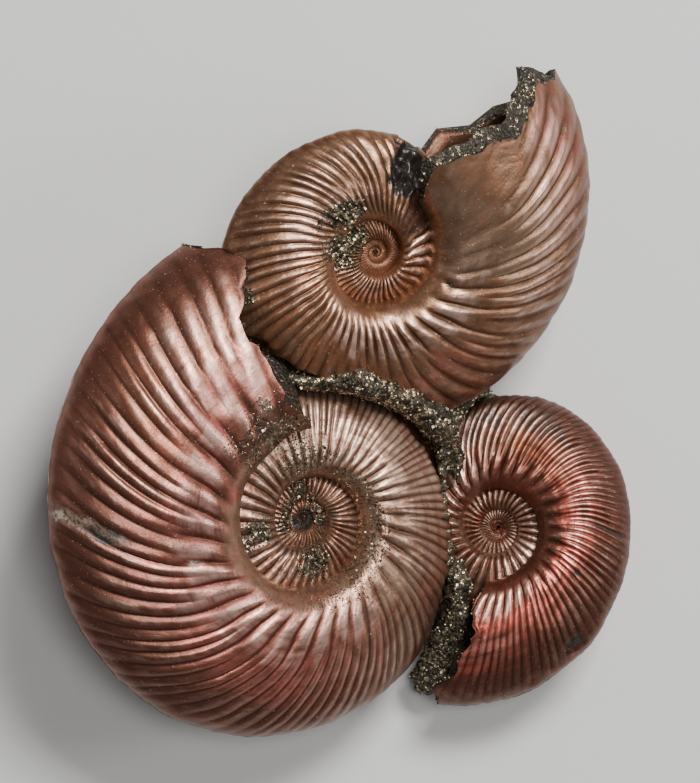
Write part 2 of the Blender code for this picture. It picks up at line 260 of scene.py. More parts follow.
@dataclass(frozen=True)
class Ribbing:
    """How the ribs of one shell run, and how they change as it grows."""

    strong: Course  # degrees between the ribs of the inner flank
    fine: Course  # degrees between the ribs of the outer flank
    lead: Course  # degrees that a rib leads at the rim
    height: Course  # half the depth from crest to trough, mm
    inner_share: Course  # height on the inner flank over that of the outer one
    split: float  # where on the flank strong ribs split into fine ones
    start_lead: float  # share of the lead gained at the umbilical shoulder
    seed: int
    known: int = 997  # ribs that have a height and a place of their own

    def count(self, spacing: Course, angle: np.ndarray) -> np.ndarray:
        """Number of ribs passed up to each growth angle.

        Args:
            spacing: degrees between ribs.
            angle: where the count is read.

        Returns:
            A count that grows by one from crest to crest.
        """
        steps = np.arange(-1700.0, 500.0, 1.0)
        total = np.cumsum(1.0 / follow(spacing, steps))
        return np.interp(angle, steps, total)

    def led(self, coil: Coil, angle: np.ndarray, x: np.ndarray) -> np.ndarray:
        """Degrees that a rib which starts at a growth angle has gained at x."""
        s = clip01((x - coil.seam) / (1 - coil.seam))
        path = self.start_lead * ease(0.0, 0.3, s) + (1 - self.start_lead) * s ** 1.7
        return follow(self.lead, angle) * path

    def origin(self, coil: Coil, angle: np.ndarray, x: np.ndarray) -> np.ndarray:
        """Growth angle at the seam of the rib that passes each place.

        Args:
            coil: the shell.
            angle: growth angle of the place.
            x: its radius over the rim's.

        Returns:
            The angle where that rib starts.
        """
        start = angle - self.led(coil, angle, x)
        for _ in range(6):
            start = 0.5 * start + 0.5 * (angle - self.led(coil, start, x))
        return start

    def crest(self, count: np.ndarray, sharp: float, seed: int) -> np.ndarray:
        """One rib profile per whole number, each a little higher or lower than the next.

        Args:
            count: number of ribs passed.
            sharp: how narrow the crests are.
            seed: choice of their heights.

        Returns:
            About -1 in the grooves and 1 on the crests.
        """
        rng = np.random.default_rng(seed)
        heights = rng.uniform(0.72, 1.25, self.known)
        shift = rng.uniform(-0.10, 0.10, self.known)
        whole = np.floor(count + 0.5).astype(int) % self.known
        shifted = count + shift[whole] * (0.5 + 0.5 * np.cos(2 * math.pi * count))
        wave = (0.5 + 0.5 * np.cos(2 * math.pi * shifted)) ** sharp
        return (2 * wave - 1) * heights[whole]

    def relief(self, coil: Coil, angle: np.ndarray, x: np.ndarray) -> tuple[np.ndarray, np.ndarray]:
        """Height of the ribs at each place of the flank.

        Args:
            coil: the shell.
            angle: growth angle of each place.
            x: its radius over the rim's.

        Returns:
            The angle where the rib starts, and the relief from -1 to 1.
        """
        start = self.origin(coil, angle, x)
        strong = self.count(self.strong, start)
        wander = 0.3 * np.sin(start / 17.0 + self.seed) + 0.12 * np.sin(start / 4.3)
        fine = self.count(self.fine, start) + wander
        newer = ease(-70, -20, start)
        to_fine = ease(self.split - 0.11, self.split + 0.13, x + 0.03 * np.sin(2.4 * strong)) * newer
        inner = self.crest(strong, 0.62, self.seed) * follow(self.inner_share, start)
        shoulder = 1 + 0.35 * ease(0.20, 0.08, np.abs(x - coil.seam - 0.16) * 2)
        mixed = inner * shoulder * (1 - to_fine) + self.crest(fine, 0.55, self.seed + 1) * to_fine
        bare = 0.012 + 0.040 * newer
        rise = ease(0.0, 1.0, (x - coil.seam - bare) / (0.06 + 0.06 * newer))
        return start, mixed * rise * (1 - 0.75 * ease(0.84, 1.0, x))


@dataclass(frozen=True)
class Patch:
    """A soft-edged zone on a shell that tints it, and may raise or sink it."""

    tint: Tint
    turn: float  # growth angle of its middle
    flank: float  # radius ratio of its middle
    reach: float  # half length, degrees
    width: float  # half width, radius ratio
    amount: float = 1.0
    slant: float = 0.0  # degrees that it leans per unit of radius ratio
    depth: float = 0.0  # mm that it is raised, or sunk if negative
    ragged: float = 0.35  # how uneven its edge is
    soft: float = 0.28  # how far its edge fades
    lumps: float = 0.0  # mm of lumps on it

    def share(self, angle: np.ndarray, x: np.ndarray, uneven: np.ndarray) -> np.ndarray:
        """How much of the patch covers each place.

        Args:
            angle: growth angle.
            x: radius over the rim's.
            uneven: field of about -1 to 1 that makes the edge ragged.

        Returns:
            0 outside and 1 inside.
        """
        turned = (angle - self.turn - self.slant * (x - self.flank)) / self.reach
        away = np.hypot(turned, (x - self.flank) / self.width) + self.ragged * uneven
        return ease(1.0 + self.soft, 1.0 - self.soft, away) * self.amount


def zones(tint: Tint, *rows: tuple[float, float, float, float, float]) -> tuple[Patch, ...]:
    """Flat patches of one tint, from their turn, flank, reach, width and amount."""
    return tuple(Patch(tint, *row) for row in rows)


@dataclass(frozen=True)
class Mouth:
    """The broken end of the last whorl."""

    wall: float  # mm from the outer surface to the hollow
    depth: float  # degrees that the hollow goes back
    ledge: float  # degrees that the crust inside the front wall stands out past its edge
    crusted: float  # degrees of the back wall, from its edge, that pyrite covers
    rough: float  # how uneven the broken face is, in degrees of growth


class Signal:
    """A shader socket that arithmetic is written with."""

    def __init__(self, graph: "Graph", source: bpy.types.NodeSocket) -> None:
        """Wraps one output socket of a graph."""
        self.graph = graph
        self.source = source

    def __add__(self, other: "Signal | float") -> "Signal":
        """Sum."""
        return self.graph.maths("ADD", self, other)

    def __radd__(self, other: float) -> "Signal":
        """Sum, number first."""
        return self.graph.maths("ADD", other, self)

    def __sub__(self, other: "Signal | float") -> "Signal":
        """Difference."""
        return self.graph.maths("SUBTRACT", self, other)

    def __rsub__(self, other: float) -> "Signal":
        """Difference, number first."""
        return self.graph.maths("SUBTRACT", other, self)

    def __mul__(self, other: "Signal | float") -> "Signal":
        """Product."""
        return self.graph.maths("MULTIPLY", self, other)

    def __rmul__(self, other: float) -> "Signal":
        """Product, number first."""
        return self.graph.maths("MULTIPLY", other, self)

    def clamped(self) -> "Signal":
        """The same, kept within 0 and 1."""
        return self.graph.maths("MINIMUM", self.graph.maths("MAXIMUM", self, 0.0), 1.0)

    def rise(self, low: float, high: float) -> "Signal":
        """Smooth step from 0 at low to 1 at high.

        Args:
            low: where the step starts.
            high: where it ends, above low.

        Returns:
            The stepped signal.
        """
        return self.graph.add(
            "ShaderNodeMapRange", {"interpolation_type": "SMOOTHSTEP"},
            {"Value": self, "From Min": low, "From Max": high},
        )


class Graph:
    """The node tree of one material, with a Principled shader at its end."""

    def __init__(self, name: str) -> None:
        """Starts a material of the given name."""
        self.material = bpy.data.materials.new(name)
        self.material.use_nodes = True
        self.tree = self.material.node_tree
        self.shader = self.tree.nodes["Principled BSDF"]

    def add(self, kind: str, settings: dict | None = None, values: dict | None = None,
            outlet: str | int = 0) -> Signal:
        """Adds a node.

        Args:
            kind: Blender's type name of the node.
            settings: properties, set before the sockets.
            values: socket name or index to a number, tuple or signal.
            outlet: name or index of the output wanted.

        Returns:
            The output as a signal.
        """
        node = self.tree.nodes.new(kind)
        for key, value in (settings or {}).items():
            setattr(node, key, value)
        for key, value in (values or {}).items():
            self.feed(node.inputs[key], value)
        return Signal(self, node.outputs[outlet])

    def feed(self, socket: bpy.types.NodeSocket, value: "Signal | float | tuple") -> None:
        """Links a signal to a socket, or sets the socket's own value."""
        if isinstance(value, Signal):
            self.tree.links.new(value.source, socket)
        else:
            socket.default_value = value

    def maths(self, operation: str, first: "Signal | float", second: "Signal | float") -> Signal:
        """One Math node."""
        return self.add("ShaderNodeMath", {"operation": operation}, {0: first, 1: second})

    def mix(self, share: "Signal | float", first: "Signal | tuple", second: "Signal | tuple",
            blend: str = "MIX") -> Signal:
        """Blends two colours.

        Args:
            share: how much of the second shows.
            first: colour below.
            second: colour above.
            blend: Blender's blend type.

        Returns:
            The mixed colour.
        """
        return self.add("ShaderNodeMix", {"data_type": "RGBA", "blend_type": blend, "clamp_factor": True},
                        {0: share, 6: first, 7: second}, outlet=2)

    def scaled(self, vector: Signal, by: tuple[float, float, float]) -> Signal:
        """A vector times another, part by part."""
        return self.add("ShaderNodeVectorMath", {"operation": "MULTIPLY"}, {0: vector, 1: by})

    def noise(self, vector: Signal, detail: float = 3.0, roughness: float = 0.55) -> Signal:
        """Cloudy noise about one unit wide, 0 to 1."""
        return self.add("ShaderNodeTexNoise", {}, {
            "Vector": vector, "Scale": 1.0, "Detail": detail, "Roughness": roughness})

    def cells(self, vector: Signal, outlet: str) -> Signal:
        """Cells one unit wide: their distance or their random colour."""
        return self.add("ShaderNodeTexVoronoi", {}, {"Vector": vector, "Scale": 1.0}, outlet=outlet)

    def attribute(self, name: str, outlet: str = "Fac") -> Signal:
        """A value stored on the mesh."""
        return self.add("ShaderNodeAttribute", {"attribute_name": name}, outlet=outlet)

    def object_mm(self) -> Signal:
        """Object coordinates in millimetres."""
        place = self.add("ShaderNodeTexCoord", outlet="Object")
        return self.scaled(place, (1000, 1000, 1000))

    def channel(self, colour: Signal, which: str) -> Signal:
        """One channel of a colour."""
        return self.add("ShaderNodeSeparateColor", {}, {0: colour}, outlet=which)

    def bump(self, height: Signal, distance: float, strength: float = 1.0,
             below: Signal | None = None) -> Signal:
        """Turns a height into a surface direction.

        Args:
            height: 0 to 1.
            distance: metres that 1 stands for.
            strength: share of it that shows.
            below: direction of a coarser bump.

        Returns:
            The direction.
        """
        values = {"Strength": strength, "Distance": distance, "Height": height}
        if below is not None:
            values["Normal"] = below
        return self.add("ShaderNodeBump", {}, values)

    def finish(self, **sockets: "Signal | float | tuple") -> bpy.types.Material:
        """Sets the shader's sockets, named with underscores for spaces, and returns the material."""
        for key, value in sockets.items():
            self.feed(self.shader.inputs[key.replace("_", " ")], value)
        return self.material


@dataclass(frozen=True)
class Pyrite:
    """Granular dark pyrite with small brassy faces that catch the light."""

    dark: Colour = (0.024, 0.019, 0.013, 1)
    olive: Colour = (0.095, 0.076, 0.050, 1)
    brass: Colour = (0.60, 0.50, 0.33, 1)
    grain: float = 0.55  # mm

    def colours(self, graph: Graph, place: Signal) -> tuple[Signal, Signal, Signal, Signal]:
        """The nodes of the pyrite surface.

        Args:
            graph: material they go into.
            place: object coordinates in millimetres.

        Returns:
            Colour, metallic share, roughness and bump height.
        """
        spread = graph.scaled(place, (1 / self.grain,) * 3)
        chance = graph.channel(graph.cells(spread, "Color"), "Red")
        away = graph.cells(spread, "Distance")
        broad = graph.noise(graph.scaled(place, (0.28,) * 3), 3.0)
        glint = (chance + broad * 0.5).rise(0.98, 1.14)
        body = graph.mix((broad + chance * 0.35).rise(0.45, 0.85), self.dark, self.olive)
        colour = graph.mix(glint, body, self.brass)
        fine = graph.noise(graph.scaled(place, (4.5,) * 3), 2.0)
        height = chance * 0.6 + (1 - away) * 0.7 + fine * 0.25
        return colour, 0.55 + glint * 0.4, 0.52 - glint * 0.26, height

    def material(self, name: str) -> bpy.types.Material:
        """A whole material of pyrite."""
        graph = Graph(name)
        colour, metal, rough, height = self.colours(graph, graph.object_mm())
        return graph.finish(Base_Color=colour, Metallic=metal, Roughness=rough,
                            Normal=graph.bump(height, 0.35 * MM))


@dataclass(frozen=True)
class Nacre:
    """Nacre of one shell, with the colours of its zones."""

    name: str
    ground: Colour
    second: Colour  # colour that streaks the ground along the ribs
    # painted shade in the rib grooves and the fine growth lines
    groove_shade: Colour
    # painted highlight on the rib crests, also used for the painted glint specks
    crest: Colour
    rose: Colour = (0.56, 0.150, 0.120, 1)
    copper: Colour = (0.44, 0.140, 0.058, 1)
    tan: Colour = (0.38, 0.245, 0.160, 1)
    # pale pearly nacre, also the painted highlight on the rib crests
    pearl_and_highlight: Colour = (0.76, 0.47, 0.385, 1)
    # dark brown of the shell, also painted shade on the outer rims and flanks and under other pieces
    umber_and_shade: Colour = (0.120, 0.052, 0.033, 1)
    soot: Colour = (0.026, 0.020, 0.016, 1)
    ash: Colour = (0.36, 0.30, 0.24, 1)
    pyrite: Pyrite = field(default_factory=Pyrite)

    def material(self) -> bpy.types.Material:
        """Builds the material from the attributes that a shell's mesh carries."""
        graph = Graph(self.name)
        place = graph.object_mm()
        coil = graph.attribute("coil", "Vector")
        rib = graph.attribute("rib")
        streak = graph.noise(graph.scaled(coil, (0.42, 2.2, 3.0)), 4.0, 0.6)
        lines = graph.noise(graph.scaled(coil, (2.6, 1.6, 3.0)), 3.0, 0.6)
        cloud = graph.noise(graph.scaled(place, (0.22,) * 3), 4.0, 0.6)
        fleck = graph.noise(graph.scaled(place, (1.7,) * 3), 3.0, 0.6)
        glint_and_crust_speckle = graph.noise(graph.scaled(place, (3.4,) * 3), 1.0)
        colour = graph.mix(streak.rise(0.40, 0.62), self.ground, self.second)
        mottle = {
            Tint.TAN: (cloud * 0.5 + streak * 0.5).rise(0.30, 0.60),
            Tint.ROSE: (cloud * 0.4 + streak * 0.6).rise(0.36, 0.60),
            Tint.COPPER: (cloud * 0.4 + streak * 0.6).rise(0.38, 0.60),
            Tint.PEARL_AND_HIGHLIGHT: (cloud * 0.3 + streak * 0.7).rise(0.34, 0.60),
            Tint.UMBER_AND_SHADE: (cloud * 0.6 + streak * 0.4).rise(0.22, 0.52),
            Tint.SOOT: (cloud * 0.25 + fleck * 0.55 + (1 - rib) * 0.25
                        + (graph.attribute(Tint.SOOT.value) - 0.7) * 0.35).rise(0.49, 0.58),
            Tint.ASH: fleck.rise(0.30, 0.60),
        }
        shown = {}
        for tint in (Tint.TAN, Tint.ROSE, Tint.COPPER, Tint.PEARL_AND_HIGHLIGHT, Tint.UMBER_AND_SHADE):
            share = graph.attribute(tint.value) * mottle[tint]
            # Pale pearly nacre shows only on the rib crests: partly its own colour, partly painted
            # highlight.
            if tint is Tint.PEARL_AND_HIGHLIGHT:
                share = share * rib.rise(0.30, 0.80)
            colour = graph.mix(share, colour, getattr(self, tint.value))
        # Painted shade: the rib grooves are darkened.
        colour = graph.mix((1 - rib.rise(0.10, 0.62)) * 0.72, colour, self.groove_shade)
        # Painted highlight along the rib crests.
        painted_highlight = rib.rise(0.70, 1.0) * (streak * 0.5 + lines * 0.5).rise(0.42, 0.64)
        colour = graph.mix(painted_highlight * 0.40, colour, self.crest)
        # The fine growth lines get the same painted shade.
        colour = graph.mix(lines.rise(0.46, 0.70) * 0.22, colour, self.groove_shade)
        for tint in (Tint.ASH, Tint.SOOT):
            shown[tint] = graph.attribute(tint.value).clamped() * mottle[tint]
            colour = graph.mix(shown[tint], colour, getattr(self, tint.value))
        dirt = fleck.rise(0.62, 0.69) * (1 - rib.rise(0.3, 0.9) * 0.6)
        colour = graph.mix(dirt * 0.8, colour, self.soot)
        # Painted glints: small pale specks in the crest highlight colour.
        colour = graph.mix(glint_and_crust_speckle.rise(0.70, 0.76) * 0.6, colour, self.crest)
        # Where the dark brown and the painted shade lie, the nacre is a little less metallic and rougher.
        brown_and_shade_cover = graph.attribute(Tint.UMBER_AND_SHADE.value).clamped()
        metal = (0.82 - shown[Tint.ASH] * 0.7 - shown[Tint.SOOT] * 0.5 - dirt * 0.5
                 - brown_and_shade_cover * 0.04).clamped()
        rough = (0.25 + cloud * 0.14 + lines * 0.08 + shown[Tint.ASH] * 0.3 + dirt * 0.2 - painted_highlight * 0.06
                 + brown_and_shade_cover * 0.04)
        relief = graph.bump(lines, 0.10 * MM)
        relief = graph.bump(cloud * 0.6 + fleck * 0.4, 0.10 * MM, 0.8, relief)
        crust_colour, crust_metal, crust_rough, height = self.pyrite.colours(graph, place)
        cover = graph.attribute(Tint.PYRITE.value)
        crust = (cover + (fleck - 0.5) * 0.8 + (glint_and_crust_speckle - 0.5) * 1.5).rise(0.45, 0.55) * (cover * 6).clamped()
        crust_colour = graph.mix(shown[Tint.SOOT] * 0.6, crust_colour, self.soot)
        colour = graph.mix(crust, colour, crust_colour)
        return graph.finish(
            Base_Color=colour,
            Metallic=metal * (1 - crust) + crust_metal * crust,
            Roughness=rough * (1 - crust) + crust_rough * crust,
            Normal=graph.bump(height * crust, 0.35 * MM, 1.0, relief),
            Coat_Weight=(1 - crust) * 0.10, Coat_Roughness=0.25,
        )


@dataclass
class Shell:
    """One ammonite: a spiral tube of shell with ribs, patches and a broken end."""

    name: str
    node: str
    slot: str
    coil: Coil
    ribs: Ribbing
    mouth: Mouth
    nacre: Nacre
    patches: tuple[Patch, ...]
    seed: int
    turns: float = 5.3  # turns woven in all
    front_rows: int = 42
    back_rows: int = 10
    steps: tuple[float, ...] = (0.44, 0.85, 1.8, 3.4)  # degrees per column, newest turn first
    early: float = 20.0  # degrees short of a full turn where the steps grow
    covering: tuple[float, float] = (405.0, 440.0)  # degrees back where the outer flank goes under
    bend: float = 45.0  # degrees over which the columns turn from the ribs to the broken edge
    stray_reach: float = 5.0  # degrees over which the raggedness of that edge fades
    face_rings: int = 14
    face_line: float = 0.66  # radius ratio of the line that the broken face closes on
    sink: float = 0.6  # mm that a whorl's edge goes into the whorl inside it
    edges: Layers = ((2.6, 0.7), (1.1, 0.45))  # field that the patches' edges follow
    swells: Layers = ((5.5, 0.13), (1.6, 0.05))  # unevenness of the shell
    crumb_sizes: tuple[float, float] = (0.95, 0.55)  # mm between the grains of the crusts

    def columns(self) -> np.ndarray:
        """Growth angles of the tube's cross-sections, oldest first."""
        angles, at = [self.coil.end_angle], self.coil.end_angle
        first = self.coil.end_angle - 360 * self.turns
        while at > first:
            turn = int((self.coil.end_angle + self.early - at) // 360)
            at -= self.steps[min(turn, len(self.steps) - 1)]
            angles.append(at)
        return np.array(angles[::-1])

    def outline(self, phi: np.ndarray) -> tuple[np.ndarray, np.ndarray]:
        """Radius ratios of the rows round the cross-sections, and the side each is on.

        Args:
            phi: growth angles of the columns.

        Returns:
            Arrays of columns by rows: the ratio, and 1 in front or -1 behind.
        """
        hidden = ease(*(self.coil.end_angle - back for back in self.covering), phi)
        widest_row = 1 - hidden * (1 - min(self.coil.covered + 0.06, 1))
        front = (1 - np.cos(np.linspace(0, math.pi, self.front_rows + 1))) / 2
        back = (1 + np.cos(np.linspace(0, math.pi, self.back_rows + 1)[1:])) / 2
        share = np.concatenate((front, back, [0.0]))
        side = np.concatenate((np.ones(len(front)), -np.ones(len(back)), [1.0]))
        x = self.coil.seam + (widest_row[:, None] - self.coil.seam) * share[None, :]
        return x, np.broadcast_to(side, x.shape)

    def broken_edge(self, x: np.ndarray, side: np.ndarray) -> tuple[np.ndarray, np.ndarray]:
        """Degrees past the end angle where the broken edge lies.

        Args:
            x: radius over the rim's.
            side: 1 in front and -1 behind.

        Returns:
            The plain line of the edge, and how far it strays from that.
        """
        coil = self.coil
        front, back = (np.interp(x, *np.array(line).T)
                       for line in (coil.break_line, coil.back_line or coil.break_line))
        across = np.stack((x * 30, side * 5.0), -1)
        ragged = ripple(across, 1.0, self.seed + 5, 12)
        fine = ripple(across * 3.4, 1.0, self.seed + 6, 12)
        return np.where(side > 0, front, back), (0.7 * ragged + 0.35 * fine) * ease(1.0, 0.96, x)

    def stations(self) -> np.ndarray:
        """The mouth's cross-sections past the broken edge.

        Returns:
            Rows of degrees back from the edge behind and in front, mm in from the outer
            surface, and size share.
        """
        wall, depth, ledge = self.mouth.wall, self.mouth.depth, self.mouth.ledge
        lip = [(0.0, 0.0, 0.12 * wall, 1.0), (0.0, -0.12 * ledge, 0.22 * wall, 1.0)]
        lip += [(0.1 * i, -ledge * i / 5, (0.22 + 0.12 * i) * wall, 1.0) for i in range(1, 6)]
        lip += [(0.8, -0.9 * ledge, wall, 1.0)]
        steps = 14 if depth > 3 else 2
        inside = [(0.8 + depth * i / steps, depth * i / steps, wall, 1.0) for i in range(1, steps + 1)]
        face = [(depth + 0.8, depth, wall, 1 - i / self.face_rings)
                for i in range(1, self.face_rings + 1)]
        return np.array(lip + inside + face)

    def marked(self, angle: np.ndarray, x: np.ndarray, side: np.ndarray,
               uneven: np.ndarray) -> tuple[dict[Tint, np.ndarray], np.ndarray]:
        """Lays the patches on the front.

        Args:
            angle: growth angle of each place.
            x: its radius over the rim's.
            side: 1 in front and -1 behind.
            uneven: field that the patches' edges follow.

        Returns:
            How much of each tint covers each place, and how far the patches raise it in mm.
        """
        tints = {tint: np.zeros(x.shape) for tint in Tint}
        raised = np.zeros(x.shape)
        for patch in self.patches:
            cover = patch.share(angle, x, uneven) * (side > 0)
            tints[patch.tint] = np.maximum(tints[patch.tint], cover)
            raised += (patch.depth + patch.lumps * uneven) * cover
        return tints, raised

    def weave(self) -> dict[str, np.ndarray]:
        """Works out every vertex of the tube.

        Returns:
            Arrays of columns by rows: "place" in mm, "coil", "rib" and each tint.
        """
        coil, end, mouth = self.coil, self.coil.end_angle, self.mouth
        tube, stations = self.columns(), self.stations()
        phi = np.concatenate((tube, np.full(len(stations), end)))[:, None]
        x, side = self.outline(phi[:, 0])
        whole = np.tile((0.0, 0.0, 0.0, 1.0), (len(tube), 1))
        behind, ahead, inset, share = (part[:, None] for part in np.vstack((whole, stations)).T)
        share[0] = 0.0
        held = ease(1.0, 0.90, x) * ease(coil.seam, coil.seam + 0.04, x)
        depth = np.where(side > 0, np.where(ahead < 0, ahead * held, ahead), behind)
        near = clip01(1 - (end - phi) / self.bend)
        edge, stray = self.broken_edge(x, side)
        stray = stray * ease(self.stray_reach, 0.0, end - phi)
        angle = phi + self.ribs.led(coil, phi, x) * (1 - near) + edge * near + stray - depth
        start, rib = self.ribs.relief(coil, angle, x)
        height = follow(self.ribs.height, start)
        plain = coil.seat(angle, coil.rim(angle) * x, side * coil.rim(angle) * coil.half_thickness(x))
        uneven = rumple(plain, self.edges, self.seed)
        tints, raised = self.marked(angle, x, side, uneven)
        lift = rib * height + rumple(plain, self.swells, self.seed + 2) + raised
        in_mouth = (inset > 0) * np.ones(x.shape)
        deep = mouth.crusted * (1 + 0.6 * uneven) + 4.0 * (side > 0)
        crusted = in_mouth * ease(1.0, -1.0, depth - deep)
        inside = {Tint.PYRITE: crusted, Tint.SOOT: crusted * 1.5, Tint.UMBER_AND_SHADE: in_mouth * 0.9,
                  Tint.COPPER: in_mouth * 0.6}
        tints = {tint: cover * (1 - in_mouth) + inside.get(tint, 0.0) for tint, cover in tints.items()}
        crumbly = tints[Tint.PYRITE] > 0
        coarse, fine = (grains(plain, size, self.seed + seed, crumbly)
                        for size, seed in zip(self.crumb_sizes, (4, 7)))
        crumbs = coarse + 0.6 * fine
        lift += tints[Tint.PYRITE] * (0.20 * crumbs - 0.02) * (1 - in_mouth)
        lift = lift * (1 - 0.7 * in_mouth)
        inset = inset * (1 + 0.30 * uneven) - crusted * 0.35 * crumbs
        rough = in_mouth * mouth.rough * (0.7 * uneven + (1.1 * crumbs - 0.5) * crusted)
        angle = angle - rough * ease(0.0, 0.5, inset)
        rim = coil.rim(angle)
        radial, sideways = coil.facing(x)
        out = lift - np.where(in_mouth > 0, inset, 0.0)
        radius = rim * x + radial * out
        high = rim * coil.half_thickness(x) + sideways * out
        high = high - self.sink * ease(coil.seam + 0.014, coil.seam, x)
        middle = rim * self.face_line
        radius = middle + (radius - middle) * share
        high = np.where(x > 0.999, 0.0, side * high) * share
        woven = {
            "place": coil.seat(angle, radius, high),
            "coil": np.stack((start / 10, x * 10, side * 2.0), -1),
            "rib": 0.5 + 0.5 * rib * (1 - in_mouth) * ease(0.0, 0.09, height),
        }
        return woven | {tint.value: cover for tint, cover in tints.items()}

    def build(self) -> bpy.types.Object:
        """Makes the closed mesh and dresses it.

        Returns:
            The finished piece.
        """
        woven = self.weave()
        columns, rows = woven["rib"].shape
        bm = bmesh.new()
        bmesh.ops.create_grid(bm, x_segments=rows - 1, y_segments=columns - 1, size=1.0)
        mesh = bpy.data.meshes.new(self.name)
        bm.to_mesh(mesh)
        grid = np.zeros(len(mesh.vertices) * 3)
        mesh.vertices.foreach_get("co", grid)
        grid = grid.reshape(-1, 3)
        row = np.rint((grid[:, 0] + 1) / 2 * (rows - 1)).astype(int)
        column = np.rint((grid[:, 1] + 1) / 2 * (columns - 1)).astype(int)
        mesh.vertices.foreach_set("co", (woven.pop("place")[column, row] * MM).ravel())
        for name, values in woven.items():
            kind, key = ("FLOAT_VECTOR", "vector") if name == "coil" else ("FLOAT", "value")
            layer = mesh.attributes.new(name, kind, "POINT")
            layer.data.foreach_set(key, values[column, row].astype(np.float32).ravel())
        bm.clear()
        bm.from_mesh(mesh)
        bmesh.ops.remove_doubles(bm, verts=bm.verts[:], dist=1e-7)
        bmesh.ops.recalc_face_normals(bm, faces=bm.faces[:])
        return self.dress(bm, mesh)

    def dress(self, bm: bmesh.types.BMesh, mesh: bpy.types.Mesh) -> bpy.types.Object:
        """Puts the mesh in the scene with its material and its place in the frame."""
        piece = put(bm, mesh, self.nacre.material())
        mesh.set_sharp_from_angle(angle=math.radians(60))
        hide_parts(self.node)
        return piece


def put(bm: bmesh.types.BMesh, mesh: bpy.types.Mesh, surface: bpy.types.Material) -> bpy.types.Object:
    """Turns a bmesh into a smooth piece that rides on the specimen.

    Args:
        bm: the finished shape, which is freed.
        mesh: the mesh it is written to.
        surface: its material.

    Returns:
        The piece.
    """
    bm.to_mesh(mesh)
    bm.free()
    mesh.materials.append(surface)
    mesh.shade_smooth()
    piece = bpy.data.objects.new(mesh.name, mesh)
    bpy.context.scene.collection.objects.link(piece)
    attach(piece, "root")
    return piece


